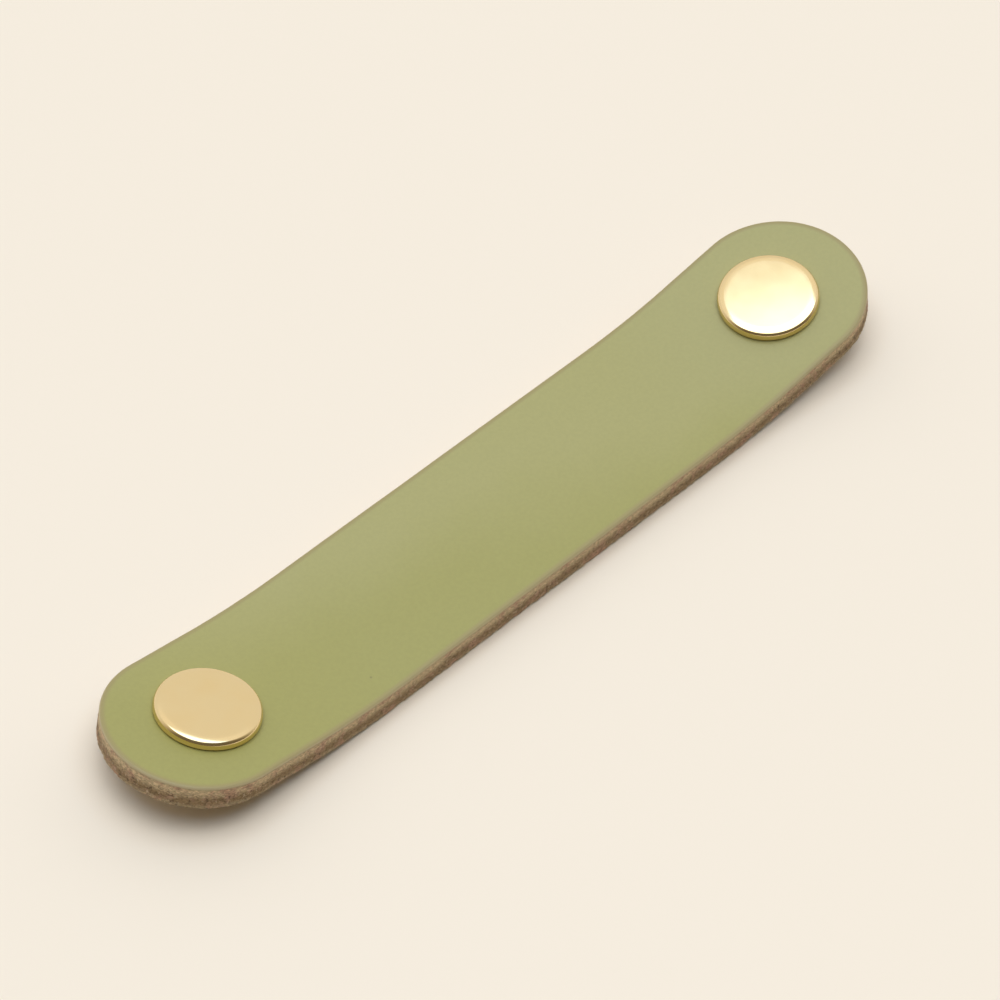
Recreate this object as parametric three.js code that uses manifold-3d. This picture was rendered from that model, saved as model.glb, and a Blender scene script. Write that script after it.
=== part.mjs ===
// Leather cabinet pull: a thick leather strap with a turned brass cap nut through each end.
// Millimetres, +Z up, X along the strap. The origin is the middle of the strap's back face.
import * as THREE from "three";
import { LoftGeometry } from "three/addons/geometries/LoftGeometry.js";
import { mergeVertices } from "three/addons/utils/BufferGeometryUtils.js";
import Module from "manifold-3d";

// Strap, cut flat and measured along its back face
const HOLE_SPACING = 128;
const END_MARGIN = 17;
const STRAP_WIDTH = 29.5;
const STRAP_THICKNESS = 4.5;
const STRAP_EDGE_RADIUS = 0.45;

// Curve of the strap at rest: a flat middle and ends that turn up, straight under the heads
const BEND_RADIUS = 118;
const END_TILT = THREE.MathUtils.degToRad(9.9);
const SEAT_MARGIN = 0.7;

// Cap nut, turned from brass, threaded M4 from its open end
const HEAD_DIAMETER = 16.8;
const HEAD_THICKNESS = 1.5;
const HEAD_WALL_LEAN = 0.45;
const HEAD_BEVEL_WIDTH = 1;
const HEAD_BEVEL_DROP = 0.2;
const HEAD_CROWN = 0.08;
const HEAD_FOOT_CHAMFER = 0.15;
const BOSS_DIAMETER = 6;
const BOSS_RECESS = 0.3;
const BOSS_CHAMFER = 0.3;
const THREAD_MINOR_DIAMETER = 3.3;
const THREAD_DEPTH = 3.9;
const DRILL_POINT_ANGLE = THREE.MathUtils.degToRad(118);

// Clearances between the strap and the cap nuts
const SEAT_GAP = 0.3;
const HOLE_CLEARANCE = 0.3;

// Fineness of the faceted curves
const TIP_STEPS = 20;
const BEND_STEPS = 10;
const ARC_DIVISIONS = 2;
const TURNED_STEPS = 48;
const HOLE_STEPS = 40;

const CUTTER_OVERRUN = 2;
const RIGHT_ANGLE = Math.PI / 2;

const wasm = await Module();
wasm.setup();

// Flat stretch in the middle, from the origin to where the bend starts
const seatHalf = HEAD_DIAMETER / 2 + SEAT_MARGIN;
const bendLength = BEND_RADIUS * END_TILT;
const flatHalf = HOLE_SPACING / 2 - seatHalf - bendLength;

/** A closed geometry as a solid that can be cut: shared corners merged and empty triangles dropped. */
function toSolid(geometry) {
  const bare = new THREE.BufferGeometry();
  bare.setAttribute("position", geometry.attributes.position);
  bare.setIndex(geometry.index);
  const merged = mergeVertices(bare);
  const corners = merged.index.array;
  const triangles = [];
  for (let i = 0; i < corners.length; i += 3) {
    const [a, b, c] = corners.slice(i, i + 3);
    if (a !== b && b !== c && c !== a) triangles.push(a, b, c);
  }
  return new wasm.Manifold(new wasm.Mesh({
    numProp: 3,
    vertProperties: new Float32Array(merged.attributes.position.array),
    triVerts: new Uint32Array(triangles),
  }));
}

/** A cut solid back as a geometry. */
function toGeometry(solid) {
  const { vertProperties, triVerts } = solid.getMesh();
  const geometry = new THREE.BufferGeometry();
  geometry.setAttribute("position", new THREE.BufferAttribute(vertProperties, 3));
  geometry.setIndex(new THREE.BufferAttribute(triVerts, 1));
  geometry.computeVertexNormals();
  return geometry;
}

/** Where a point of the flat strap lies once the ends are turned up. */
function bend(along, across, height) {
  const distance = Math.abs(along);
  const turned = THREE.MathUtils.clamp((distance - flatHalf) / BEND_RADIUS, 0, END_TILT);
  const flat = Math.min(distance, flatHalf);
  const straight = Math.max(distance - flatHalf - bendLength, 0);
  const x = flat + BEND_RADIUS * Math.sin(turned) + straight * Math.cos(turned) - height * Math.sin(turned);
  const z = BEND_RADIUS * (1 - Math.cos(turned)) + straight * Math.sin(turned) + height * Math.cos(turned);
  return new THREE.Vector3(Math.sign(along) * x, across, z);
}

/** A matrix that carries a thing made on the Z axis to the hole at one end, square to the leather. */
function atHole(side) {
  const place = bend(side * HOLE_SPACING / 2, 0, 0);
  const tilt = new THREE.Quaternion().setFromAxisAngle(new THREE.Vector3(0, 1, 0), -side * END_TILT);
  return new THREE.Matrix4().compose(place, tilt, new THREE.Vector3(1, 1, 1));
}

/** Stations from tip to tip: each has the middle of its own rounding and the way out from it. */
function strapStations() {
  const tipMiddle = HOLE_SPACING / 2 + END_MARGIN - STRAP_WIDTH / 2;
  const stations = [];
  for (let i = 0; i <= TIP_STEPS; i += 1) {
    const angle = RIGHT_ANGLE * i / TIP_STEPS;
    stations.push({ middle: -tipMiddle, outX: -Math.cos(angle), outY: Math.sin(angle) });
  }
  const straightEnd = flatHalf + bendLength;
  for (let i = 0; i <= BEND_STEPS; i += 1) {
    stations.push({ middle: -straightEnd + bendLength * i / BEND_STEPS, outX: 0, outY: 1 });
  }
  const mirrored = stations.map(({ middle, outX, outY }) => ({ middle: -middle, outX: -outX, outY }));
  return [...stations, ...mirrored.reverse()];
}

/** Half of the strap's section, from the back face to the grain face: x is inset, y is height. */
function edgeProfile() {
  const r = STRAP_EDGE_RADIUS;
  const edge = new THREE.Path();
  edge.absarc(r, r, r, -RIGHT_ANGLE, -Math.PI, true);
  edge.absarc(r, STRAP_THICKNESS - r, r, Math.PI, RIGHT_ANGLE, true);
  return edge.getPoints(ARC_DIVISIONS);
}

/** The leather strap: the rounded section lofted from tip to tip, curved, with both holes punched. */
function strapGeometry() {
  const edge = edgeProfile();
  const corner = (station, side, { x: inset, y: height }) => {
    const reach = STRAP_WIDTH / 2 - inset;
    return bend(station.middle + reach * station.outX, side * reach * station.outY, height);
  };
  const sections = strapStations().map((station) => [
    ...edge.map((point) => corner(station, 1, point)),
    ...edge.toReversed().map((point) => corner(station, -1, point)),
  ]);
  let strap = toSolid(new LoftGeometry(sections));
  for (const side of [-1, 1]) strap = strap.subtract(holeCutter(side));
  return toGeometry(strap);
}

/** What the punch takes out at one end. */
function holeCutter(side) {
  const radius = BOSS_DIAMETER / 2 + HOLE_CLEARANCE;
  const length = STRAP_THICKNESS + 2 * CUTTER_OVERRUN;
  const punch = new THREE.CylinderGeometry(radius, radius, length, HOLE_STEPS);
  punch.rotateX(RIGHT_ANGLE);
  punch.translate(0, 0, STRAP_THICKNESS / 2);
  return toSolid(punch.applyMatrix4(atHole(side)));
}

/** The cap nut, turned about Z with the strap's back face at height nil. Its wall leans in to a sharp face edge. */
function capNutGeometry() {
  const boreRadius = THREAD_MINOR_DIAMETER / 2;
  const bossRadius = BOSS_DIAMETER / 2;
  const headRadius = HEAD_DIAMETER / 2;
  const threadEnd = BOSS_RECESS + THREAD_DEPTH;
  const drillPoint = threadEnd + boreRadius / Math.tan(DRILL_POINT_ANGLE / 2);
  const headFoot = STRAP_THICKNESS + SEAT_GAP;
  const headTop = headFoot + HEAD_THICKNESS;
  const faceEdge = headRadius - HEAD_WALL_LEAN;
  const crownEdge = faceEdge - HEAD_BEVEL_WIDTH;
  const crownRadius = (crownEdge ** 2 + HEAD_CROWN ** 2) / (2 * HEAD_CROWN);
  const crownMiddle = headTop - crownRadius;

  const profile = new THREE.Path();
  profile.moveTo(0, drillPoint);
  profile.lineTo(boreRadius, threadEnd);
  profile.lineTo(boreRadius, BOSS_RECESS);
  profile.lineTo(bossRadius - BOSS_CHAMFER, BOSS_RECESS);
  profile.lineTo(bossRadius, BOSS_RECESS + BOSS_CHAMFER);
  profile.lineTo(bossRadius, headFoot);
  profile.lineTo(headRadius - HEAD_FOOT_CHAMFER, headFoot);
  profile.lineTo(headRadius, headFoot + HEAD_FOOT_CHAMFER);
  profile.lineTo(faceEdge, headTop - HEAD_CROWN - HEAD_BEVEL_DROP);
  profile.absarc(0, crownMiddle, crownRadius, Math.acos(crownEdge / crownRadius), RIGHT_ANGLE, false);

  const points = profile.getPoints(ARC_DIVISIONS);
  points.at(-1).setX(0);
  const nut = new THREE.LatheGeometry(points, TURNED_STEPS);
  nut.rotateX(RIGHT_ANGLE);
  return nut;
}

// Colours and finish of the two materials
const leather = new THREE.MeshStandardMaterial({ color: 0xa8a76e, roughness: 0.6, metalness: 0 });
const brass = new THREE.MeshStandardMaterial({ color: 0xe3c981, roughness: 0.18, metalness: 1 });

/** A named mesh with a material of its own. */
function piece(name, geometry, material) {
  const mesh = new THREE.Mesh(geometry, material.clone());
  mesh.name = name;
  return mesh;
}

const pull = new THREE.Group();
pull.add(piece("strap", strapGeometry(), leather));

for (const [name, side] of [["left_cap_nut", -1], ["right_cap_nut", 1]]) {
  const end = new THREE.Group();
  end.applyMatrix4(atHole(side));
  end.add(piece(name, capNutGeometry(), brass));
  pull.add(end);
}

export default pull;
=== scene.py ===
"""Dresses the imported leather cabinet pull: leather strap, turned cap nuts, floor, light and camera."""

import logging
import math
from dataclasses import dataclass, field
from enum import Enum

import bmesh
import bpy
from mathutils import Matrix, Vector, noise


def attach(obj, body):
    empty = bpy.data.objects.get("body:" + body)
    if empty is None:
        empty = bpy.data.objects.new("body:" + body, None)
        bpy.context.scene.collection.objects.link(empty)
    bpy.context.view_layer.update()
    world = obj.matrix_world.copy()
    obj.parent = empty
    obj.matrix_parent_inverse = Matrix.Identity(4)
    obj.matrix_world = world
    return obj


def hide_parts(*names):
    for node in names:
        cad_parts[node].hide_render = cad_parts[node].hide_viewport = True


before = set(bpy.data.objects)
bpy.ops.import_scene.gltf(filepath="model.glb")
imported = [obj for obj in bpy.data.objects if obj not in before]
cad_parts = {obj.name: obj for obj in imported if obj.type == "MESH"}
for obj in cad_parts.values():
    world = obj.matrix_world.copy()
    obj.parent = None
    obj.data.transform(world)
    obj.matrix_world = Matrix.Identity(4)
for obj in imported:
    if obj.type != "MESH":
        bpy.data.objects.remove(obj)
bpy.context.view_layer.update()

MM = 0.001
LEATHER_MM = 4.5
MERGE_DISTANCE = 0.001 * MM
NOISE_SPAN = (0.3, 0.7)
UP = (0, 0, 1)
IMAGE_PIXELS = 1000
SENSOR_MM = 36.0
log = logging.getLogger("cabinet_pull")

Colour = tuple[float, float, float]
Point = tuple[float, float]
Remap = tuple[float, float, float, float]
Socket = bpy.types.NodeSocket
Owner = bpy.types.Material | bpy.types.World


class Slot(Enum):
    """Names of two material slots, leather and brass; no piece takes its finish from them."""

    LEATHER = "leather"
    BRASS = "brass"


class End(Enum):
    """The two ends of the strap, by the sign of X."""

    LEFT = -1
    RIGHT = 1


def linear(red: int, green: int, blue: int) -> Colour:
    """A display colour of 0 to 255 as linear light.

    Args:
        red: Red of the display colour.
        green: Green of the display colour.
        blue: Blue of the display colour.

    Returns:
        The three linear values, from 0 to 1.
    """

    def one(value: int) -> float:
        """One channel."""
        share = value / 255
        return share / 12.92 if share <= 0.04045 else ((share + 0.055) / 1.055) ** 2.4

    return one(red), one(green), one(blue)


class NodeKit:
    """Short ways to add and join the nodes of one material, or of the world."""

    def __init__(self, owner: Owner) -> None:
        """Starts with nothing but the output.

        Args:
            owner: The material or world whose nodes these are.
        """
        self.owner = owner
        owner.use_nodes = True
        self.tree = owner.node_tree
        self.tree.nodes.clear()
        kind = "World" if isinstance(owner, bpy.types.World) else "Material"
        self.output = self.tree.nodes.new(f"ShaderNodeOutput{kind}")

    def add(self, kind: str, inputs: dict | None = None, **settings: object) -> bpy.types.Node:
        """Adds a node.

        Args:
            kind: The node's type, without its ShaderNode prefix.
            inputs: Values or sockets for its inputs, by name or number.
            settings: Properties of the node itself.

        Returns:
            The new node.
        """
        node = self.tree.nodes.new("ShaderNode" + kind)
        for key, value in settings.items():
            setattr(node, key, value)
        for key, value in (inputs or {}).items():
            if isinstance(value, Socket):
                self.tree.links.new(value, node.inputs[key])
            else:
                node.inputs[key].default_value = value
        return node

    def math(self, operation: str, *values: float | Socket, clamp: bool = False) -> Socket:
        """The result of a Math node.

        Args:
            operation: The Math node's operation.
            values: Its numbers or sockets, in order.
            clamp: Whether the result stays between 0 and 1.

        Returns:
            The socket of the result.
        """
        node = self.add("Math", dict(enumerate(values)), operation=operation, use_clamp=clamp)
        return node.outputs[0]

    def dot(self, vector: Socket, way: Vector | Colour) -> Socket:
        """How far a vector reaches along a way."""
        return self.add("VectorMath", {0: vector, 1: way}, operation="DOT_PRODUCT").outputs["Value"]

    def remap(
        self, value: Socket, low: float, high: float, to_low: float = 0, to_high: float = 1
    ) -> Socket:
        """A value carried smoothly from one range to another.

        Args:
            value: The socket to carry over.
            low: Where the first range starts.
            high: Where the first range ends.
            to_low: The result at low.
            to_high: The result at high.

        Returns:
            The socket of the result.
        """
        inputs = {"Value": value, "From Min": low, "From Max": high, "To Min": to_low, "To Max": to_high}
        return self.add("MapRange", inputs, interpolation_type="SMOOTHSTEP").outputs["Result"]

    def noise(self, vector: Socket, scale: float, detail: float = 3, roughness: float = 0.5) -> Socket:
        """Fractal noise between 0 and 1.

        Args:
            vector: Where the pattern is read.
            scale: How fine the pattern is, as cells for each unit of the vector.
            detail: Octaves of the noise.
            roughness: Strength of the finer octaves.

        Returns:
            The socket of the noise.
        """
        inputs = {"Vector": vector, "Scale": scale, "Detail": detail, "Roughness": roughness}
        return self.add("TexNoise", inputs).outputs[0]

    def mix(
        self, share: float | Socket, first: Colour | Socket, second: Colour | Socket, blend: str = "MIX"
    ) -> Socket:
        """Two colours mixed.

        Args:
            share: How much of the second shows.
            first: A colour or a socket.
            second: A colour or a socket.
            blend: How the second goes over the first.

        Returns:
            The socket of the mixed colour.
        """
        node = self.add("Mix", {0: share}, data_type="RGBA", blend_type=blend)
        for place, value in ((6, first), (7, second)):
            if isinstance(value, Socket):
                self.tree.links.new(value, node.inputs[place])
            else:
                node.inputs[place].default_value = (*value, 1)
        return node.outputs[2]

    def ramp(self, value: Socket, stops: list[tuple[float, Colour]]) -> Socket:
        """A colour read from a row of stops.

        Args:
            value: Where to read, from 0 to 1.
            stops: Places and their colours, from low to high.

        Returns:
            The socket of the colour.
        """
        node = self.add("ValToRGB", {0: value})
        elements = node.color_ramp.elements
        while len(elements) < len(stops):
            elements.new(0.5)
        for element, (place, colour) in zip(elements, stops):
            element.position = place
            element.color = (*colour, 1)
        return node.outputs[0]

    def grey(self, value: Socket) -> Socket:
        """A grey of one value."""
        return self.add("CombineColor", {0: value, 1: value, 2: value}).outputs[0]

    def scaled(self, vector: Socket, scale: tuple[float, float, float]) -> Socket:
        """A vector stretched by its own factor on each axis."""
        return self.add("Mapping", {"Vector": vector, "Scale": scale}).outputs[0]

    def bump(self, height: Socket, distance: float, below: Socket | None = None) -> Socket:
        """A normal that follows a height.

        Args:
            height: The height, from 0 to 1.
            distance: How far, in metres, a height of 1 stands out.
            below: A normal to add this one to.

        Returns:
            The socket of the normal.
        """
        inputs = {"Height": height, "Distance": distance, "Strength": 1.0}
        if below is not None:
            inputs["Normal"] = below
        return self.add("Bump", inputs).outputs[0]

    def finish(self, shader: bpy.types.Node) -> Owner:
        """Ends the tree with a shader node and returns its owner."""
        self.tree.links.new(shader.outputs[0], self.output.inputs["Surface"])
        return self.owner


@dataclass(frozen=True)
class LeatherFinish:
    """Dyed grain on top, a raw cut edge in layers, and a rough flesh side.

    Depths are in millimetres below the grain, and each fineness is in cells for each millimetre.
    A remap says where its range starts and ends, and what the result is there.
    """

    thickness_mm: float = LEATHER_MM
    grain: Colour = (0.350, 0.334, 0.101)
    # paler grain, reached both by the random drift of tone and by the painted sheen towards the far side
    # and the right end
    grain_pale_and_sheen: Colour = (0.388, 0.368, 0.140)
    worn_top: Colour = (0.34, 0.285, 0.112)
    # paler rim colour: the pale core through the thin coat, and a painted highlight on the rounded shoulder
    shoulder_wear_and_highlight: Colour = (0.50, 0.41, 0.235)
    # painted shade: the dark line of the crease just below the coat
    speck: Colour = (0.20, 0.19, 0.07)
    edge_crease_shade: Colour = (0.47, 0.38, 0.215)
    edge_tan: Colour = (0.60, 0.46, 0.27)
    edge_dark: Colour = (0.27, 0.18, 0.09)
    edge_pink: Colour = (0.46, 0.27, 0.18)
    edge_foot: Colour = (0.42, 0.32, 0.19)
    edge_fleck: Colour = (0.66, 0.53, 0.36)
    flesh: Colour = (0.45, 0.34, 0.21)
    flesh_dark: Colour = (0.30, 0.215, 0.125)
    pore: Colour = (0.12, 0.08, 0.045)
    coat_depth_mm: float = 0.46
    coat_blend_mm: float = 0.12
    coat_ragged_mm: float = 0.2
    worn_inset_mm: tuple[float, float] = (0.4, 1.2)
    shoulder_depth_mm: float = 0.2
    shoulder_share: float = 0.9
    # way of the painted sheen: the grain is painted lighter towards the far side and the right end
    painted_sheen_way: tuple[float, float, float] = (0.018, 0.075, 0)
    drift_fineness: float = 0.045
    drift_swing: float = 1.2
    drift_and_sheen_span: tuple[float, float] = (-0.3, 1.3)
    mottle_fineness: float = 1.5
    mottle: tuple[float, float] = (0.98, 1.02)
    speck_fineness: float = 0.26
    speck_rarity: float = 0.93
    speck_radius: tuple[float, float] = (0.035, 0.07)
    speck_share: float = 0.6
    pebble_fineness: float = 1.9
    pebble_grit: float = 0.35
    pebble_grit_fineness: float = 5.2
    streak_fineness: tuple[float, float, float] = (0.9, 0.9, 4.2)
    fibre_fineness: tuple[float, float, float] = (1.9, 1.9, 5.2)
    suede_fineness: float = 1.8
    slow_fineness: float = 0.16
    pink_fineness: float = 0.42
    fleck_fineness: float = 1.7
    streak_wander_mm: float = 0.9
    wander_depth_mm: tuple[float, float] = (0.6, 1.4)
    fibre_remap: Remap = (0.32, 0.68, 0.66, 1.34)
    pink_remap: Remap = (0.46, 0.68, 0, 0.8)
    deep_remap: Remap = (0.22, 0.5, 0.12, 1)
    fleck_remap: Remap = (0.56, 0.68, 0, 0.55)
    pore_remap: Remap = (0.34, 0.44, 0.85, 0)
    grain_roughness: float = 0.42
    raw_roughness: float = 0.92
    streak_relief: float = 0.6
    fibre_relief: float = 0.4
    raw_relief_mm: float = 0.12
    grain_relief_mm: float = 0.008

    def build(self) -> bpy.types.Material:
        """Makes the material.

        Returns:
            The leather, which reads the strap's own attributes.
        """
        kit = NodeKit(bpy.data.materials.new("leather"))
        blank = kit.add("Attribute", attribute_name="blank_mm").outputs["Vector"]
        is_wall = kit.add("Attribute", attribute_name="wall").outputs["Fac"]
        height = kit.add("SeparateXYZ", {0: blank}).outputs[2]
        depth = kit.math("SUBTRACT", self.thickness_mm, height)

        streaks = kit.noise(kit.scaled(blank, self.streak_fineness), 1, 4, 0.62)
        fine = kit.noise(kit.scaled(blank, self.fibre_fineness), 1, 3, 0.6)
        suede = kit.noise(blank, self.suede_fineness, 4, 0.65)

        edge = self.edge_colour(kit, blank, depth, streaks, fine)
        raw = kit.mix(is_wall, self.flesh_colour(kit, suede), edge)
        raggedness = kit.math("MULTIPLY_ADD", streaks, self.coat_ragged_mm, -self.coat_ragged_mm / 2)
        ragged = kit.math("ADD", depth, raggedness)
        coat = kit.remap(ragged, self.coat_depth_mm - self.coat_blend_mm, self.coat_depth_mm, 1, 0)
        colour = kit.mix(coat, raw, self.coat_colour(kit, blank, depth))

        fibre_height = kit.math("MULTIPLY", fine, self.fibre_relief)
        rough_height = kit.math("MULTIPLY_ADD", streaks, self.streak_relief, fibre_height)
        raw_height = kit.add("Mix", {0: is_wall, 2: suede, 3: rough_height}).outputs[0]
        bare_height = kit.math("MULTIPLY", raw_height, kit.math("SUBTRACT", 1, coat))
        raw_normal = kit.bump(bare_height, self.raw_relief_mm * MM)
        coat_height = kit.math("MULTIPLY", self.grain_height(kit, blank), coat)
        normal = kit.bump(coat_height, self.grain_relief_mm * MM, raw_normal)

        roughness = kit.remap(coat, 0, 1, self.raw_roughness, self.grain_roughness)
        shader = kit.add("BsdfPrincipled", {"Base Color": colour, "Roughness": roughness, "Normal": normal})
        shader.inputs["Specular IOR Level"].default_value = 0.5
        return kit.finish(shader)

    def coat_colour(self, kit: NodeKit, blank: Socket, depth: Socket) -> Socket:
        """The grain, which wears towards tan near the outline and turns paler over the rim: partly the pale
        core through the thin coat, partly a painted highlight.

        Args:
            kit: The material's nodes.
            blank: Place on the flat blank, in millimetres.
            depth: Millimetres below the grain face.

        Returns:
            The socket of the colour.
        """
        inset = kit.add("Attribute", attribute_name="inset_mm").outputs["Fac"]
        rubbed = kit.remap(inset, *self.worn_inset_mm, 1, 0)
        grain = kit.mix(rubbed, self.grain_colour(kit, blank), self.worn_top)
        # paler over the rim: partly the thin coat, partly a painted highlight
        rim_wear_and_highlight = kit.remap(depth, 0.0, self.shoulder_depth_mm, 0, self.shoulder_share)
        return kit.mix(rim_wear_and_highlight, grain, self.shoulder_wear_and_highlight)

    def grain_colour(self, kit: NodeKit, blank: Socket) -> Socket:
        """The dyed grain: a slow random drift of tone, a painted sheen that makes the far side and the
        right end lighter, and a few tiny specks.

        Args:
            kit: The material's nodes.
            blank: Place on the flat blank, in millimetres.

        Returns:
            The socket of the colour.
        """
        # painted sheen: a lighter tone towards the far side and the right end, added to the random drift
        across = kit.dot(blank, self.painted_sheen_way)
        drift_noise = kit.noise(blank, self.drift_fineness, 3, 0.5)
        drift_and_sheen = kit.math("MULTIPLY_ADD", drift_noise, self.drift_swing, across)
        tone = kit.mix(kit.remap(drift_and_sheen, *self.drift_and_sheen_span), self.grain, self.grain_pale_and_sheen)
        mottle = kit.remap(kit.noise(blank, self.mottle_fineness, 2, 0.6), *NOISE_SPAN, *self.mottle)
        tone = kit.mix(1, tone, kit.grey(mottle), "MULTIPLY")
        cells = kit.add("TexVoronoi", {"Vector": blank, "Scale": self.speck_fineness, "Randomness": 1.0})
        lot = kit.add("SeparateColor", {0: cells.outputs["Color"]}).outputs[0]
        chosen = kit.math("GREATER_THAN", lot, self.speck_rarity)
        dot = kit.remap(cells.outputs["Distance"], *self.speck_radius, 1, 0)
        shown = kit.math("MULTIPLY", kit.math("MULTIPLY", dot, chosen), self.speck_share)
        return kit.mix(shown, tone, self.speck)

    def grain_height(self, kit: NodeKit, blank: Socket) -> Socket:
        """The fine pebble of the grain.

        Args:
            kit: The material's nodes.
            blank: Place on the flat blank, in millimetres.

        Returns:
            The socket of the height, mostly from 0 to 1.
        """
        inputs = {"Vector": blank, "Scale": self.pebble_fineness, "Randomness": 1.0}
        cells = kit.add("TexVoronoi", inputs, feature="SMOOTH_F1")
        pebble = kit.math("SUBTRACT", 1, cells.outputs["Distance"])
        grit = kit.noise(blank, self.pebble_grit_fineness, 2, 0.5)
        return kit.math("MULTIPLY_ADD", grit, self.pebble_grit, pebble)

    def flesh_colour(self, kit: NodeKit, suede: Socket) -> Socket:
        """The rough brown flesh side."""
        return kit.mix(kit.remap(suede, *NOISE_SPAN), self.flesh_dark, self.flesh)

    def edge_colour(
        self, kit: NodeKit, blank: Socket, depth: Socket, streaks: Socket, fine: Socket
    ) -> Socket:
        """The cut edge: a thin crease painted dark as shade, pale tan, dark fibres, and a paler foot.

        Args:
            kit: The material's nodes.
            blank: Place on the flat blank, in millimetres.
            depth: Millimetres below the grain face.
            streaks: Noise drawn out along the edge.
            fine: Finer noise.

        Returns:
            The socket of the colour.
        """
        slow_noise = kit.noise(blank, self.slow_fineness, 2, 0.5)
        slow = kit.math("MULTIPLY_ADD", slow_noise, self.streak_wander_mm, -self.streak_wander_mm / 2)
        centred = kit.math("ADD", slow, -self.streak_wander_mm / 2)
        wave = kit.math("MULTIPLY_ADD", streaks, self.streak_wander_mm, centred)
        wander = kit.math("MULTIPLY", wave, kit.remap(depth, *self.wander_depth_mm))
        layer = kit.math("DIVIDE", kit.math("ADD", depth, wander), self.thickness_mm, clamp=True)
        # the first two stops paint the crease's shade as a dark line
        colour = kit.ramp(layer, [
            (0.09, self.edge_crease_shade),
            (0.12, self.edge_crease_shade),
            (0.18, self.edge_tan),
            (0.29, self.edge_tan),
            (0.58, self.edge_dark),
            (0.76, self.edge_dark),
            (0.90, self.edge_foot),
        ])
        pink = kit.remap(kit.noise(blank, self.pink_fineness, 3, 0.6), *self.pink_remap)
        colour = kit.mix(pink, colour, self.edge_pink)
        fibres = kit.remap(fine, *self.fibre_remap)
        colour = kit.mix(1, colour, kit.grey(fibres), "MULTIPLY")
        deep = kit.remap(layer, *self.deep_remap)
        coarse = kit.noise(blank, self.fleck_fineness, 3, 0.6)
        flecks = kit.math("MULTIPLY", kit.remap(coarse, *self.fleck_remap), deep)
        colour = kit.mix(flecks, colour, self.edge_fleck)
        pores = kit.math("MULTIPLY", kit.remap(coarse, *self.pore_remap), deep)
        return kit.mix(pores, colour, self.pore)


@dataclass(frozen=True)
class BrassFinish:
    """Polished pale gold brass, with the faint waviness of hand polishing.

    Each fineness is in cells for each metre.
    """

    tint: Colour = (0.90, 0.71, 0.385)
    warm_share: Colour = (1.0, 0.98, 0.94)
    roughness: float = 0.12
    roughness_drop: float = 0.02
    roughness_rise: float = 0.03
    smear_fineness: float = 320
    tone_fineness: float = 180
    wave_fineness: float = 260
    wave_mm: float = 0.0004

    def build(self) -> bpy.types.Material:
        """Makes the material.

        Returns:
            The brass.
        """
        kit = NodeKit(bpy.data.materials.new("polished_brass"))
        place = kit.add("TexCoord").outputs["Object"]
        least = self.roughness - self.roughness_drop
        most = self.roughness + self.roughness_rise
        smear = kit.remap(kit.noise(place, self.smear_fineness, 3, 0.6), *NOISE_SPAN, least, most)
        tone = kit.remap(kit.noise(place, self.tone_fineness, 2, 0.5), *NOISE_SPAN)
        warm = tuple(value * share for value, share in zip(self.tint, self.warm_share))
        colour = kit.mix(tone, self.tint, warm)
        wave = kit.bump(kit.noise(place, self.wave_fineness, 2, 0.4), self.wave_mm * MM)
        inputs = {"Base Color": colour, "Metallic": 1.0, "Roughness": smear, "Normal": wave}
        return kit.finish(kit.add("BsdfPrincipled", inputs))


@dataclass(frozen=True)
class FloorFinish:
    """Plain pale cream paint."""

    tint: Colour = (0.915, 0.825, 0.69)
    roughness: float = 0.55
    specular: float = 0.25

    def build(self) -> bpy.types.Material:
        """Makes the material.

        Returns:
            The paint.
        """
        kit = NodeKit(bpy.data.materials.new("floor_paint"))
        inputs = {"Base Color": (*self.tint, 1), "Roughness": self.roughness}
        shader = kit.add("BsdfPrincipled", inputs)
        shader.inputs["Specular IOR Level"].default_value = self.specular
        return kit.finish(shader)


def piece(name: str, mesh_source: bmesh.types.BMesh, material: bpy.types.Material) -> bpy.types.Object:
    """Turns a finished bmesh into an object at the origin.

    Args:
        name: The piece's name.
        mesh_source: The bmesh, which is freed.
        material: What it is made of.

    Returns:
        The new object, linked to the scene.
    """
    mesh = bpy.data.meshes.new(name)
    mesh_source.to_mesh(mesh)
    mesh_source.free()
    mesh.materials.append(material)
    thing = bpy.data.objects.new(name, mesh)
    bpy.context.scene.collection.objects.link(thing)
    return thing


def shade_smooth(thing: bpy.types.Object, sharp_degrees: float) -> None:
    """Smooths a piece's shading, apart from edges sharper than an angle."""
    thing.data.shade_smooth()
    thing.data.set_sharp_from_angle(angle=math.radians(sharp_degrees))


@dataclass
class Bend:
    """How the flat strap curves at rest: a flat middle, a round bend, and straight ends that point up."""

    hole_spacing: float = 128 * MM
    radius: float = 118 * MM
    tilt: float = math.radians(9.9)
    seat_half: float = 9.1 * MM

    @property
    def length(self) -> float:
        """Length of one bend along the back face."""
        return self.radius * self.tilt

    @property
    def flat_half(self) -> float:
        """From the middle to where a bend starts."""
        return self.hole_spacing / 2 - self.seat_half - self.length

    def place(self, flat: Vector) -> Vector:
        """Where a point of the flat strap lies once the ends are turned up.

        Args:
            flat: Along, across, and height above the back face.

        Returns:
            The point in the row frame.
        """
        distance = abs(flat.x)
        turned = min(max((distance - self.flat_half) / self.radius, 0), self.tilt)
        straight = max(distance - self.flat_half - self.length, 0)
        along = min(distance, self.flat_half) + self.radius * math.sin(turned)
        along += straight * math.cos(turned) - flat.z * math.sin(turned)
        up = self.radius * (1 - math.cos(turned)) + straight * math.sin(turned) + flat.z * math.cos(turned)
        return Vector((math.copysign(along, flat.x), flat.y, up))

    def at_hole(self, end: End) -> Matrix:
        """Carries a thing made on the Z axis to the hole at one end, square to the leather."""
        spot = self.place(Vector((end.value * self.hole_spacing / 2, 0, 0)))
        return Matrix.Translation(spot) @ Matrix.Rotation(-end.value * self.tilt, 4, "Y")


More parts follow.
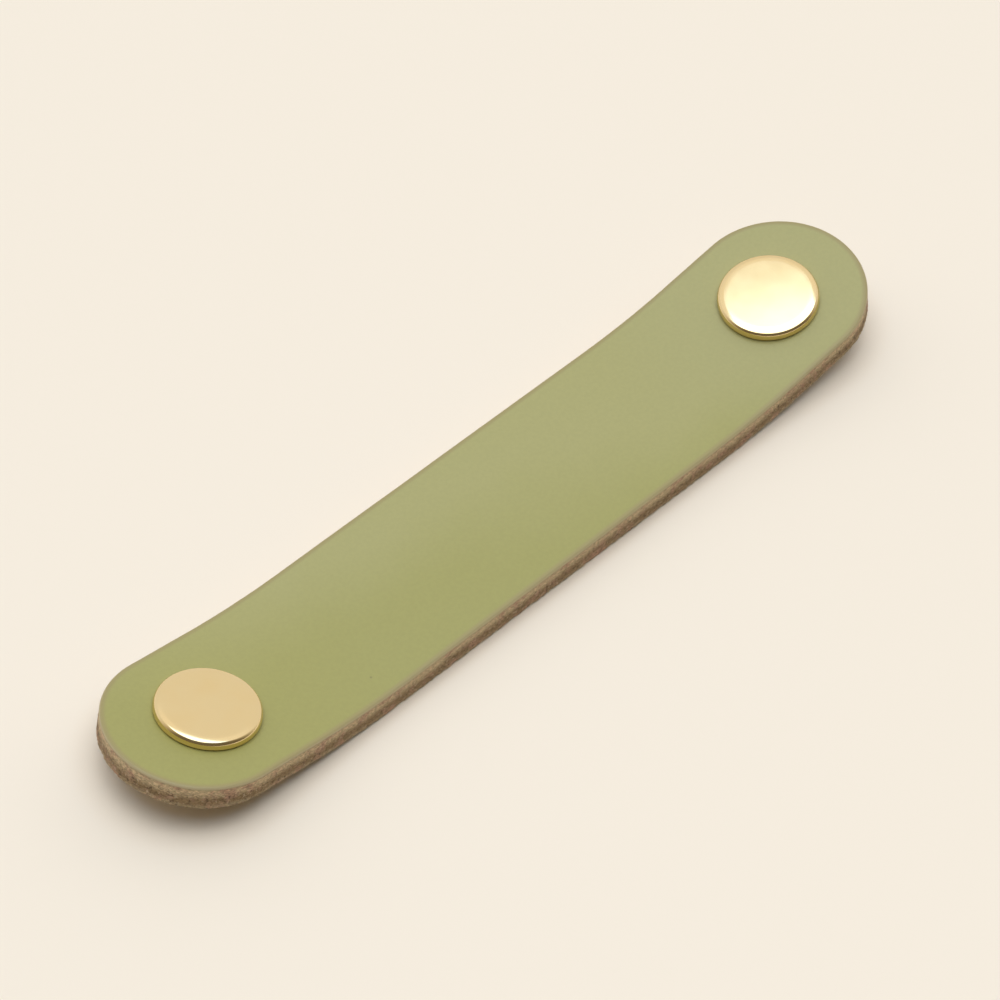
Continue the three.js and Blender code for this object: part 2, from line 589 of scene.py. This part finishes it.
@dataclass(frozen=True)
class CutEdge:
    """How far the fibres of the raw cut edge fall back.

    Lengths are in millimetres. A fineness is in cells for each millimetre, along the faces and upwards.
    """

    streak: float = 0.075
    grit: float = 0.07
    slow: float = 0.04
    crease: float = 0.06
    raw: float = 0.1
    raw_depth: float = 0.45
    raw_blend: float = 0.3
    crease_depth: float = 0.52
    crease_width: float = 0.12
    foot_height: float = 1.2
    foot_gain: float = 0.9
    streak_fineness: tuple[float, float] = (0.8, 2.8)
    grit_fineness: tuple[float, float] = (2.3, 3.6)
    grit_shift: float = 40
    slow_fineness: float = 0.07
    slow_layer: float = 3.1

    def fibres(self, place: Vector) -> float:
        """Streaks and grit together.

        Args:
            place: The place on the flat blank, in millimetres.

        Returns:
            Their height, in millimetres, on both sides of nil.
        """
        level, up = self.streak_fineness
        streak = noise.fractal((place.x * level, place.y * level, place.z * up), 0.7, 2.0, 4)
        level, up = self.grit_fineness
        spot = (place.x * level + self.grit_shift, place.y * level, place.z * up)
        grit = noise.fractal(spot, 0.8, 2.0, 3)
        return self.streak * streak + self.grit * grit

    def push(self, place: Vector, depth: float) -> float:
        """How far the cut edge falls back at one place.

        Args:
            place: The place on the flat blank, in millimetres.
            depth: Millimetres below the grain face.

        Returns:
            The distance, in millimetres, nil or less.
        """
        raw = min(max((depth - self.raw_depth) / self.raw_blend, 0), 1)
        foot = min(max(self.foot_height - place.z, 0), 1)
        slow = noise.noise((place.x * self.slow_fineness, place.y * self.slow_fineness, self.slow_layer))
        crease = math.exp(-((depth - self.crease_depth) / self.crease_width) ** 2)
        rough = self.fibres(place) * raw * (1 + self.foot_gain * foot)
        return min(rough + self.slow * slow - self.crease * crease - self.raw * raw, 0.0)


@dataclass
class Strap:
    """The leather strap, modelled flat and then bent."""

    bend: Bend
    width: float = 29.5 * MM
    thickness: float = LEATHER_MM * MM
    end_margin: float = 17 * MM
    grain_rim: float = 0.42 * MM
    flesh_rim: float = 0.45 * MM
    face_rings: tuple[float, ...] = (0.7 * MM, 1.1 * MM, 1.7 * MM, 2.5 * MM)
    hole_radius: float = 3.3 * MM
    hole_rim: float = 0.12 * MM
    hole_ring: float = 0.8 * MM
    column_step: float = 0.28 * MM
    layer_step: float = 0.2 * MM
    cut_step: float = 3 * MM
    cut_slack: float = 0.02 * MM
    level_slack: float = 0.01 * MM
    wall_share: float = 0.99
    fibre_share: float = 0.9
    rim_steps: int = 5
    hole_steps: int = 72
    sharp_degrees: float = 50
    seed: int = 5
    cut_edge: CutEdge = CutEdge()

    @property
    def half_width(self) -> float:
        """Half of the strap's width, and the radius of its ends."""
        return self.width / 2

    @property
    def tip_middle(self) -> float:
        """From the middle of the strap to the middle of a round end."""
        return self.bend.hole_spacing / 2 + self.end_margin - self.half_width

    def section(self, flesh_rim: float, grain_rim: float, rings: tuple[float, ...]) -> list[Point]:
        """Half of a section, from the flesh side round the edge to the grain side.

        Args:
            flesh_rim: Radius of the rim on the flesh side.
            grain_rim: Radius of the rim on the grain side.
            rings: Insets of the rings on both faces.

        Returns:
            Insets and heights.
        """
        points = [(inset, 0.0) for inset in reversed(rings)]
        quarter = math.pi / 2 / self.rim_steps
        for index in range(self.rim_steps + 1):
            angle = index * quarter
            points.append((flesh_rim * (1 - math.sin(angle)), flesh_rim * (1 - math.cos(angle))))
        upright = self.thickness - flesh_rim - grain_rim
        layers = round(upright / self.layer_step)
        points += [(0.0, flesh_rim + upright * index / layers) for index in range(1, layers)]
        for index in range(self.rim_steps + 1):
            angle = index * quarter
            height = self.thickness - grain_rim * (1 - math.sin(angle))
            points.append((grain_rim * (1 - math.cos(angle)), height))
        return points + [(inset, self.thickness) for inset in rings]

    def chain(
        self, source: bmesh.types.BMesh, places: list[Vector]
    ) -> list[bmesh.types.BMVert | bmesh.types.BMEdge]:
        """Adds points joined in a row, and returns them with their edges."""
        verts = [source.verts.new(place) for place in places]
        return verts + [source.edges.new(pair) for pair in zip(verts, verts[1:])]

    @property
    def outline_length(self) -> float:
        """Once round the flat outline."""
        return 4 * self.tip_middle + 2 * math.pi * self.half_width

    def station(self, run: float) -> tuple[Vector, Vector]:
        """The outline at one place.

        Args:
            run: How far round the outline, from the right end of the far side towards the left.

        Returns:
            The middle of the strap or of the round end there, and the way out from it.
        """
        side = 2 * self.tip_middle
        half_turn = math.pi * self.half_width
        back = run >= side + half_turn
        run -= side + half_turn if back else 0
        sign = -1 if back else 1
        if run < side:
            return Vector((sign * (self.tip_middle - run), 0, 0)), Vector((0, sign, 0))
        angle = math.pi / 2 + (run - side) / self.half_width
        way = Vector((sign * math.cos(angle), sign * math.sin(angle), 0))
        return Vector((-sign * self.tip_middle, 0, 0)), way

    def wrap_edge(self, source: bmesh.types.BMesh) -> None:
        """Wraps a grid round the outline: the section one way, and columns the other way.

        Args:
            source: The flat bmesh.
        """
        section = self.section(self.flesh_rim, self.grain_rim, self.face_rings)
        rows = len(section) - 1
        columns = round(self.outline_length / self.column_step)
        grid = bmesh.ops.create_grid(source, x_segments=columns, y_segments=rows, size=1)["verts"]
        for vert in grid:
            inset, height = section[round((vert.co.y + 1) / 2 * rows)]
            middle, way = self.station((vert.co.x + 1) / 2 * self.outline_length)
            vert.co = middle + way * (self.half_width - inset) + Vector((0, 0, height))
        bmesh.ops.remove_doubles(source, verts=grid, dist=MERGE_DISTANCE)

    def punch_holes(self, source: bmesh.types.BMesh) -> None:
        """Turns the wall of each punched hole.

        Args:
            source: The flat bmesh.
        """
        section = self.section(self.hole_rim, self.hole_rim, (self.hole_ring,))
        for end in End:
            middle = end.value * self.bend.hole_spacing / 2
            geom = self.chain(source, [
                Vector((middle + self.hole_radius + inset, 0, height)) for inset, height in section
            ])
            bmesh.ops.spin(
                source, geom=geom, cent=(middle, 0, 0), axis=UP, dvec=(0, 0, 0),
                angle=2 * math.pi, steps=self.hole_steps, use_merge=True, use_duplicate=False,
            )

    def cuts(self) -> list[tuple[Vector, Vector]]:
        """Upright planes that cut the faces where they bend, and one down the middle.

        Returns:
            A point and a normal for each plane.
        """
        half = math.floor(self.tip_middle / self.cut_step)
        alongs = [index * self.cut_step for index in range(-half, half + 1)]
        planes = [(Vector((along, 0, 0)), Vector((1, 0, 0))) for along in alongs]
        return [(Vector((0, 0, 0)), Vector((0, 1, 0))), *planes]

    def lies_at(self, edge: bmesh.types.BMEdge, height: float) -> bool:
        """Whether an edge starts at a height of the flat strap."""
        return abs(edge.verts[0].co.z - height) < self.level_slack

    def fill_faces(self, source: bmesh.types.BMesh) -> None:
        """Fills the flesh side and the grain side, and cuts them into strips.

        Args:
            source: The flat bmesh, with its edge and holes.
        """
        for height in (0, self.thickness):
            rims = [edge for edge in source.edges if edge.is_boundary and self.lies_at(edge, height)]
            filled = bmesh.ops.triangle_fill(source, use_beauty=True, use_dissolve=True, edges=rims)["geom"]
            faces = [item for item in filled if isinstance(item, bmesh.types.BMFace)]
            edges = [edge for face in faces for edge in face.edges]
            verts = [vert for face in faces for vert in face.verts]
            geom = list(dict.fromkeys([*faces, *edges, *verts]))
            for point, normal in self.cuts():
                cut = bmesh.ops.bisect_plane(
                    source, geom=geom, dist=self.cut_slack, plane_co=point, plane_no=normal
                )
                geom = cut["geom"]

    def outward(self, point: Vector) -> tuple[Vector, float]:
        """Where a point lies against the outline.

        Args:
            point: A point of the flat strap.

        Returns:
            The way out of the outline there, and how far inside it the point is.
        """
        middle = min(max(point.x, -self.tip_middle), self.tip_middle)
        way = Vector((point.x - middle, point.y, 0))
        reach = way.length
        return (way / reach if reach else Vector((0, 1, 0))), self.half_width - reach

    def hole_distance(self, point: Vector) -> float:
        """How far a point of the flat strap is from the nearer hole's wall."""
        return math.hypot(abs(point.x) - self.bend.hole_spacing / 2, point.y) - self.hole_radius

    def is_wall(self, point: Vector) -> bool:
        """Whether a point belongs to the cut edge or to a punched wall.

        Args:
            point: A point of the flat strap.

        Returns:
            True on a wall and its rims, False on the two faces.
        """
        _, inside = self.outward(point)
        rim = self.flesh_rim if point.z < self.thickness / 2 else self.grain_rim
        return inside < rim * self.wall_share or self.hole_distance(point) < self.hole_rim * self.wall_share

    def roughen(self, source: bmesh.types.BMesh) -> None:
        """Gives the cut edge its fibres.

        Args:
            source: The flat bmesh.
        """
        noise.seed_set(self.seed)
        for vert in source.verts:
            way, inside = self.outward(vert.co)
            if inside < self.flesh_rim * self.fibre_share:
                place = vert.co / MM
                depth = self.thickness / MM - place.z
                vert.co += way * (self.cut_edge.push(place, depth) * MM)

    def paint(self, source: bmesh.types.BMesh) -> None:
        """Writes where each point lies on the flat blank and how far in from its outline, and what is wall.

        Args:
            source: The flat bmesh.
        """
        blank = source.verts.layers.float_vector.new("blank_mm")
        inset = source.verts.layers.float.new("inset_mm")
        wall = source.verts.layers.float.new("wall")
        for vert in source.verts:
            vert[blank] = vert.co / MM
            vert[inset] = self.outward(vert.co)[1] / MM
            vert[wall] = 1.0 if self.is_wall(vert.co) else 0.0

    def build(self, material: bpy.types.Material) -> bpy.types.Object:
        """Makes the bent strap.

        Args:
            material: The leather.

        Returns:
            The piece.
        """
        source = bmesh.new()
        self.punch_holes(source)
        self.wrap_edge(source)
        self.fill_faces(source)
        bmesh.ops.recalc_face_normals(source, faces=source.faces)
        self.paint(source)
        self.roughen(source)
        for vert in source.verts:
            vert.co = self.bend.place(vert.co)
        thing = piece("leather_strap", source, material)
        shade_smooth(thing, self.sharp_degrees)
        return thing


@dataclass
class CapNut:
    """A turned brass cap nut: a flat round head, a boss and a blind threaded bore.

    The thread's two half widths, at its root and its crest, are shares of the pitch.
    """

    bend: Bend
    end: End
    leather: float = LEATHER_MM * MM
    foot_gap: float = 0.06 * MM
    head_radius: float = 8.4 * MM
    head_height: float = 1.8 * MM
    crown: float = 0.06 * MM
    wall_lean: float = 0.45 * MM
    wall_power: float = 4.0
    bevel_width: float = 0.75 * MM
    bevel_drop: float = 0.15 * MM
    bevel_power: float = 1.35
    foot_chamfer: float = 0.26 * MM
    boss_radius: float = 3 * MM
    boss_recess: float = 0.3 * MM
    boss_chamfer: float = 0.3 * MM
    bore_radius: float = 2.05 * MM
    bore_depth: float = 3.9 * MM
    drill_half_angle: float = math.radians(59)
    pitch: float = 0.7 * MM
    thread_depth: float = 0.4 * MM
    thread_overlap: float = 0.03 * MM
    root_half: float = 0.42
    crest_half: float = 0.06
    steps: int = 180
    arc_steps: int = 12
    thread_steps: int = 48
    sharp_degrees: float = 35

    @property
    def head_top(self) -> float:
        """Height of the middle of the head above the strap's back face."""
        return self.leather + self.head_height

    @property
    def foot(self) -> float:
        """Height of the head's underside above the strap's back face."""
        return self.leather + self.foot_gap

    def boss(self) -> list[Point]:
        """The outline below the head: up from the drill point, out of the bore and up the boss.

        Returns:
            Radii and heights.
        """
        thread_end = self.boss_recess + self.bore_depth
        return [
            (0.0, thread_end + self.bore_radius / math.tan(self.drill_half_angle)),
            (self.bore_radius, thread_end),
            (self.bore_radius, self.boss_recess + self.boss_chamfer / 2),
            (self.bore_radius + self.boss_chamfer / 2, self.boss_recess),
            (self.boss_radius - self.boss_chamfer, self.boss_recess),
            (self.boss_radius, self.boss_recess + self.boss_chamfer),
            (self.boss_radius, self.foot),
        ]

    def head(self) -> list[Point]:
        """The outline of the head: a wall that curves in, a bevel and a low crown.

        Returns:
            Radii and heights, from the underside to the middle of the crown.
        """
        face = self.head_radius - self.wall_lean - self.bevel_width
        face_top = self.head_top - self.crown
        dome = (face ** 2 + self.crown ** 2) / (2 * self.crown)
        wall_foot = self.foot + self.foot_chamfer
        wall_height = face_top - self.bevel_drop - wall_foot
        points = [(self.head_radius - self.foot_chamfer, self.foot)]
        for index in range(self.arc_steps):
            share = index / self.arc_steps
            radius = self.head_radius - self.wall_lean * share ** self.wall_power
            points.append((radius, wall_foot + wall_height * share))
        for index in range(self.arc_steps + 1):
            share = 1 - index / self.arc_steps
            height = face_top - self.bevel_drop * share ** self.bevel_power
            points.append((face + self.bevel_width * share, height))
        for index in range(self.arc_steps - 1, -1, -1):
            radius = face * index / self.arc_steps
            points.append((radius, self.head_top - dome + math.sqrt(dome ** 2 - radius ** 2)))
        return points

    def thread(self, source: bmesh.types.BMesh) -> None:
        """Adds the thread's ridge, a closed helix that stands in from the bore's wall.

        Args:
            source: The cap nut's bmesh, on the Z axis.
        """
        start = self.boss_recess + self.pitch / 2
        turns = (self.bore_depth - self.pitch) / self.pitch
        root = self.bore_radius + self.thread_overlap
        crest = self.bore_radius - self.thread_depth
        places = (
            (root, -self.root_half),
            (crest, -self.crest_half),
            (crest, self.crest_half),
            (root, self.root_half),
        )
        verts = [source.verts.new((radius, 0, start + share * self.pitch)) for radius, share in places]
        section = source.faces.new(verts)
        bmesh.ops.spin(
            source, geom=[*section.verts, *section.edges, section], cent=(0, 0, 0), axis=UP,
            dvec=(0, 0, self.pitch / self.thread_steps), angle=turns * 2 * math.pi,
            steps=round(turns * self.thread_steps), use_merge=False, use_duplicate=False,
        )

    def build(self, material: bpy.types.Material) -> bpy.types.Object:
        """Turns the cap nut and seats it in its hole.

        Args:
            material: The brass.

        Returns:
            The piece.
        """
        source = bmesh.new()
        outline = [*self.boss(), *self.head()]
        verts = [source.verts.new((radius, 0, height)) for radius, height in outline]
        edges = [source.edges.new(pair) for pair in zip(verts, verts[1:])]
        bmesh.ops.spin(
            source, geom=[*verts, *edges], cent=(0, 0, 0), axis=UP, dvec=(0, 0, 0),
            angle=2 * math.pi, steps=self.steps, use_merge=True, use_duplicate=False,
        )
        bmesh.ops.remove_doubles(source, verts=source.verts, dist=MERGE_DISTANCE)
        self.thread(source)
        bmesh.ops.recalc_face_normals(source, faces=source.faces)
        bmesh.ops.transform(source, matrix=self.bend.at_hole(self.end), verts=source.verts)
        thing = piece(f"{self.end.name.lower()}_turned_cap_nut", source, material)
        shade_smooth(thing, self.sharp_degrees)
        return thing


@dataclass
class Studio:
    """Floor, light and camera."""

    azimuth: float = 48.57
    elevation: float = 48.49
    roll: float = -3.99
    distance: float = 768.5 * MM
    focal_px: float = 4850.0
    origin_px: tuple[float, float] = (497.1, 530.1)
    floor_size: float = 6.0
    floor_gap: float = 0.02 * MM
    backdrop: Colour = linear(246, 238, 225)
    back_way: Vector = field(default_factory=lambda: Vector((0.6, 0.8, 0)).normalized())
    glow_way: Vector = field(default_factory=lambda: Vector((0, 0, 1)))
    back_light: float = 0.84
    front_light: float = 0.14
    glow_light: float = 2.3
    glow_inside: float = 22.5
    glow_outside: float = 33.3
    front_to_back: tuple[float, float] = (-0.5, 0.5)
    wall_band: tuple[float, float] = (0.56, 0.78)
    wall_rise: tuple[float, float] = (0.95, 1.08)
    wall_colour: Colour = (1.03, 1.0, 0.97)
    front_colour: Colour = (1.15, 1.0, 0.72)
    glow_rim: Colour = (0.62, 1.0, 1.5)
    glow_heart: Colour = (1.03, 1.0, 1.0)
    heart_outside: float = 27.0
    heart_inside: float = 19.0

    def add_camera(self) -> None:
        """Puts the camera where the photograph was taken from."""
        angles = (self.azimuth, self.elevation, self.roll)
        azimuth, elevation, roll = (math.radians(value) for value in angles)
        forward = Vector((
            math.sin(azimuth) * math.cos(elevation),
            math.cos(azimuth) * math.cos(elevation),
            -math.sin(elevation),
        ))
        level = forward.cross(Vector(UP)).normalized()
        down = forward.cross(level)
        right = math.cos(roll) * level + math.sin(roll) * down
        down = -math.sin(roll) * level + math.cos(roll) * down
        middle = IMAGE_PIXELS / 2
        aside, below = ((place - middle) * self.distance / self.focal_px for place in self.origin_px)
        spot = -(aside * right + below * down + self.distance * forward)
        data = bpy.data.cameras.new("camera")
        data.sensor_width = SENSOR_MM
        data.lens = self.focal_px / IMAGE_PIXELS * SENSOR_MM
        camera = bpy.data.objects.new("camera", data)
        turn = Matrix((right, -down, -forward)).transposed().to_4x4()
        camera.matrix_world = Matrix.Translation(spot) @ turn
        bpy.context.scene.collection.objects.link(camera)
        bpy.context.scene.camera = camera

    def add_floor(self) -> None:
        """Lays the floor just under the strap."""
        source = bmesh.new()
        lowered = Matrix.Translation((0, 0, -self.floor_gap))
        bmesh.ops.create_grid(source, x_segments=1, y_segments=1, size=self.floor_size / 2, matrix=lowered)
        piece("floor", source, FloorFinish().build())

    def reach(self, degrees: float) -> float:
        """The cosine of an angle in degrees."""
        return math.cos(math.radians(degrees))

    def add_light(self) -> None:
        """Surrounds the pull with soft light: a wide glow overhead, a bright back and a dimmer front."""
        kit = NodeKit(bpy.data.worlds.new("studio"))
        way = kit.add("TexCoord").outputs["Generated"]
        towards_back = kit.dot(way, self.back_way)
        around = kit.remap(towards_back, *self.front_to_back, self.front_light, self.back_light)
        upward = kit.add("SeparateXYZ", {0: way}).outputs[2]
        wall = kit.math("MULTIPLY", around, kit.remap(upward, *self.wall_band, *self.wall_rise))
        turn = kit.remap(towards_back, *self.front_to_back)
        wall_colour = kit.mix(turn, self.front_colour, self.wall_colour)
        towards_glow = kit.dot(way, self.glow_way)
        outside, inside = self.reach(self.glow_outside), self.reach(self.glow_inside)
        glow = kit.remap(towards_glow, outside, inside, 0, self.glow_light)
        outside, inside = self.reach(self.heart_outside), self.reach(self.heart_inside)
        glow_colour = kit.mix(kit.remap(towards_glow, outside, inside), self.glow_rim, self.glow_heart)
        room = kit.add("Background", {"Color": wall_colour, "Strength": wall})
        window = kit.add("Background", {"Color": glow_colour, "Strength": glow})
        lit = kit.add("AddShader", {0: room.outputs[0], 1: window.outputs[0]})
        seen = kit.add("Background", {"Color": (*self.backdrop, 1), "Strength": 1.0})
        is_camera = kit.add("LightPath").outputs["Is Camera Ray"]
        bpy.context.scene.world = kit.finish(
            kit.add("MixShader", {0: is_camera, 1: lit.outputs[0], 2: seen.outputs[0]})
        )

    def build(self) -> None:
        """Adds everything, and sets the plain view transform."""
        self.add_camera()
        self.add_floor()
        self.add_light()
        bpy.context.scene.view_settings.view_transform = "Standard"


@dataclass
class Pull:
    """The whole pull, and what each of its pieces stands for."""

    bend: Bend = field(default_factory=Bend)

    def adopt(self, thing: bpy.types.Object, node: str) -> None:
        """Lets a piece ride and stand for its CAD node.

        Args:
            thing: The piece.
            node: The CAD node that it stands for.
        """
        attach(thing, "root")
        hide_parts(node)
        log.info("%s: %d faces, stands for %s", thing.name, len(thing.data.polygons), node)

    def build(self) -> None:
        """Builds the strap and both cap nuts."""
        self.adopt(Strap(self.bend).build(LeatherFinish().build()), "strap")
        brass = BrassFinish().build()
        for end in End:
            nut = CapNut(self.bend, end).build(brass)
            self.adopt(nut, f"{end.name.lower()}_cap_nut")


def main() -> None:
    """Builds the scene in order."""
    logging.basicConfig(level=logging.INFO, format="%(name)s: %(message)s")
    Studio().build()
    Pull().build()


if __name__ == "__main__":
    main()
